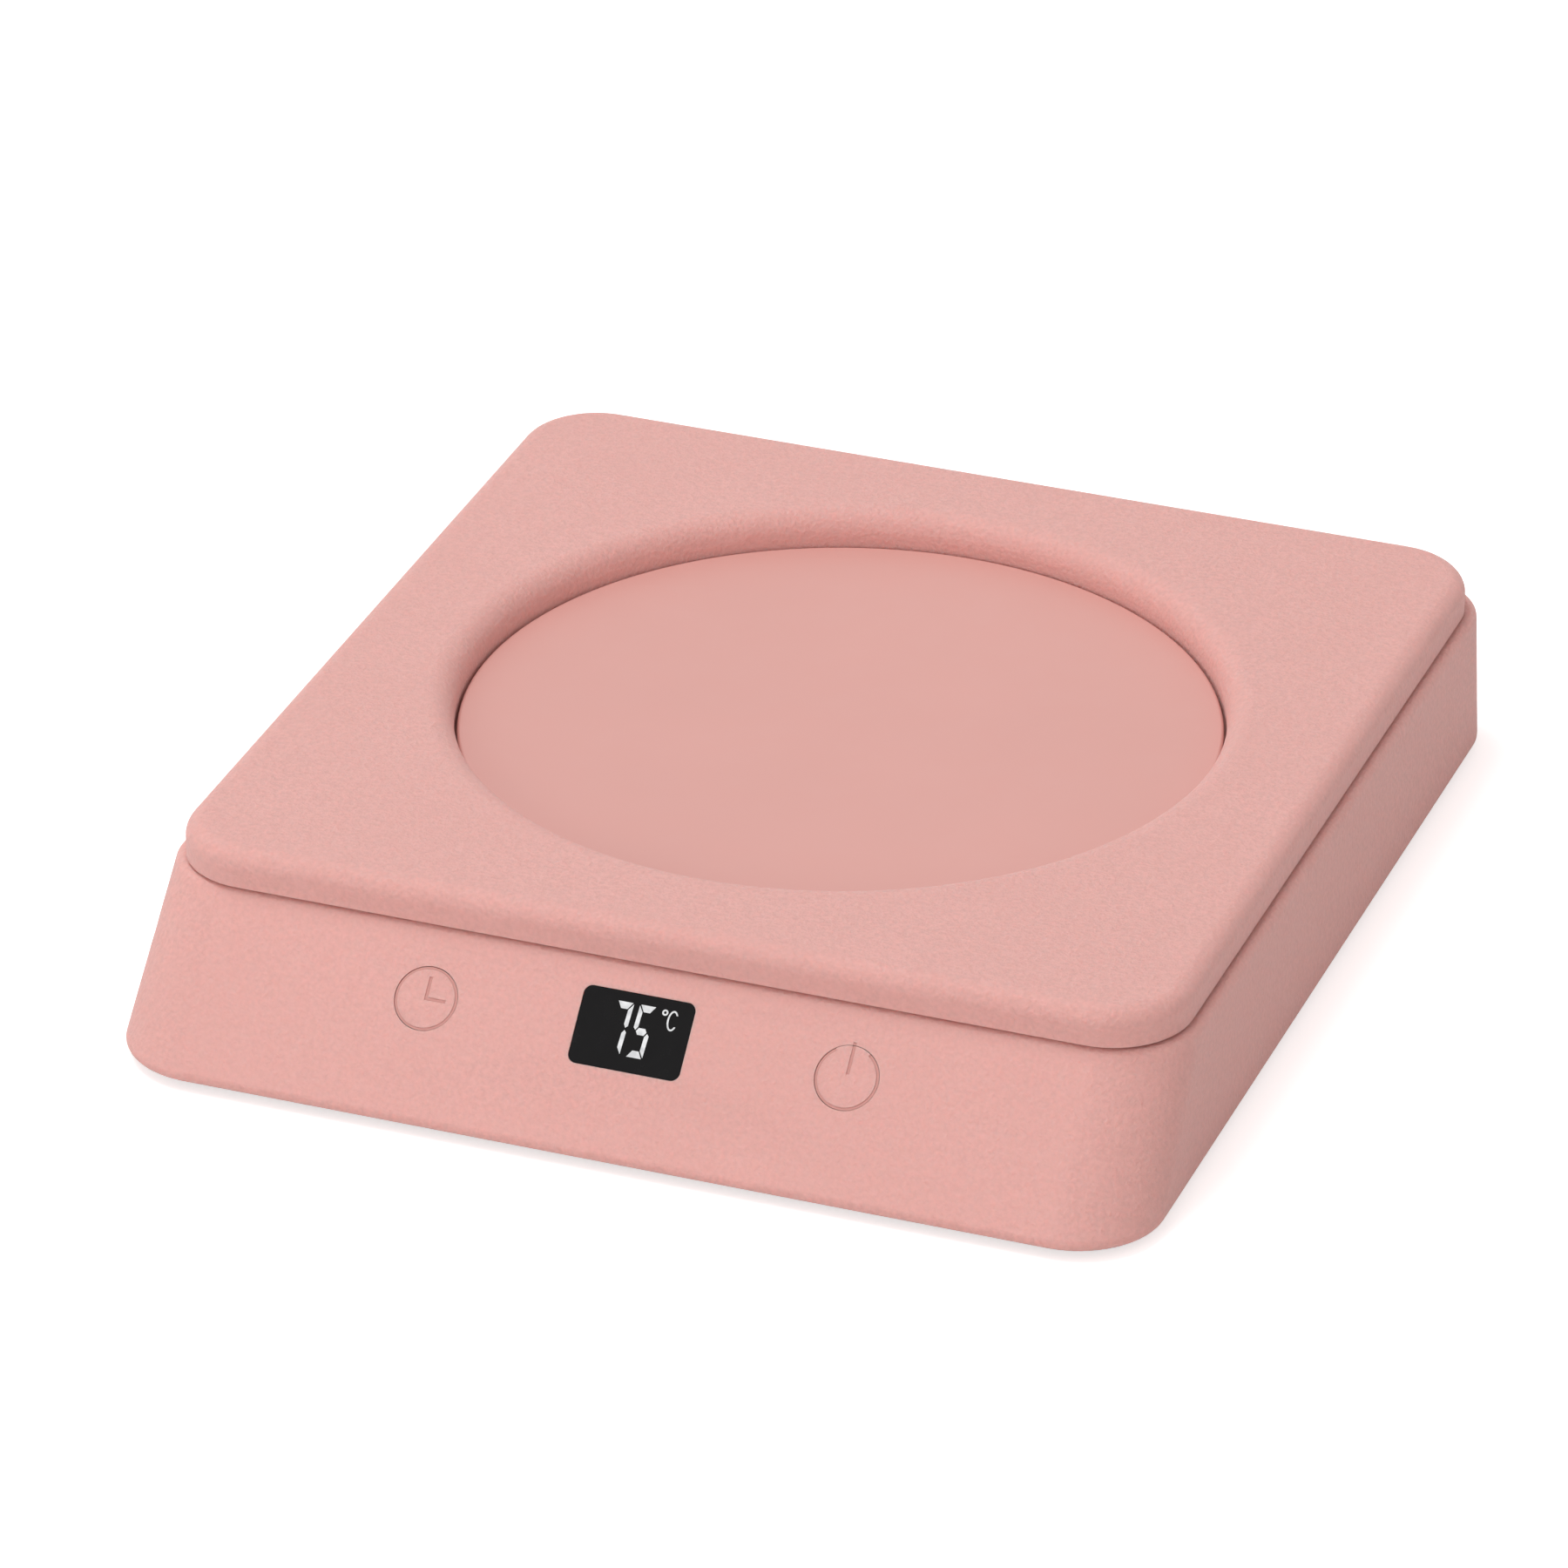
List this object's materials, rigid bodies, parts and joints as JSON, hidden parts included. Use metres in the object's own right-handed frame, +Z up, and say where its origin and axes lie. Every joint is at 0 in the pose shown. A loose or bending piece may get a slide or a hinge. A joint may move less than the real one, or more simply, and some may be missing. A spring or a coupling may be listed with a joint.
{
  "type": "mug warmer",
  "caption": "Low square electric mug warmer with a round heated recess, a slanted front with a small numeric display, a timer key and a power key.",
  "frame": {"origin": "centre of the bounding box's bottom, on the surface that the rubber feet stand on", "axes": "+X to the user's right, +Y from the slanted front to the back, +Z up"},
  "size_m": [0.1236, 0.1359, 0.0232],
  "materials": {
    "case_plastic": "soft-touch, fine grain",
    "plate_coating": "smooth satin coat on aluminium",
    "foot_rubber": "matt",
    "seal_silicone": "matt",
    "screw_steel": "zinc plated",
    "tray_steel": "plain sheet",
    "clip_aluminium": "satin",
    "film_polyimide": "thin film laminate",
    "pad_fibre": "pressed glass fibre",
    "bead_epoxy": "moulded epoxy",
    "lead_sleeve": "silicone sleeve",
    "fuse_case": "drawn can",
    "board_laminate": "solder resist",
    "component_black": "moulded",
    "capacitor_can": "sleeved can",
    "connector_nylon": "natural nylon",
    "socket_steel": "nickel plated",
    "window_black": "polished tinted",
    "digit_light": "lit light guide",
    "ribbon_grey": "flat cable"
  },
  "bodies": {
    "housing": {"base_shell": "case_plastic", "top_cover": "case_plastic", "bottom_cover": "case_plastic", "rubber_foot_front_left": "foot_rubber", "rubber_foot_front_right": "foot_rubber", "rubber_foot_back_left": "foot_rubber", "rubber_foot_back_right": "foot_rubber", "case_screws": "screw_steel", "heating_plate": "plate_coating", "plate_seal": "seal_silicone", "heater_film": "film_polyimide", "insulation_pad": "pad_fibre", "heater_tray": "tray_steel", "tray_screws": "screw_steel", "thermistor": "bead_epoxy", "thermistor_grommet": "seal_silicone", "sensor_leads": "lead_sleeve", "thermal_fuse": "fuse_case", "fuse_clip": "tray_steel", "clip_rivets": "clip_aluminium", "heater_leads": "lead_sleeve", "control_board": "board_laminate", "board_screws": "screw_steel", "controller_chip": "component_black", "heater_transistor": "component_black", "inductor": "component_black", "capacitors": "capacitor_can", "buzzer": "component_black", "heater_connector": "connector_nylon", "sensor_connector": "connector_nylon", "ribbon_connector": "connector_nylon", "usb_socket": "socket_steel", "display_window": "window_black", "digit_segments": "digit_light", "digit_module": "connector_nylon", "front_board": "board_laminate", "front_board_connector": "connector_nylon", "front_board_screws": "screw_steel", "ribbon_cable": "ribbon_grey", "timer_switch": "component_black", "power_switch": "component_black"},
    "timer_key": {"timer_key": "case_plastic", "timer_switch_plunger": "component_black"},
    "power_key": {"power_key": "case_plastic", "power_switch_plunger": "component_black"}
  },
  "joints": [
    {"name": "timer_key_press", "type": "slide", "parent": "housing", "child": "timer_key", "axis": [0, 0.7314, -0.682], "range_m": [0, 0.0004], "stiffness_N_per_m": 2000, "springref_m": -0.0002},
    {"name": "power_key_press", "type": "slide", "parent": "housing", "child": "power_key", "axis": [0, 0.7314, -0.682], "range_m": [0, 0.0004], "stiffness_N_per_m": 2000, "springref_m": -0.0002}
  ]
}
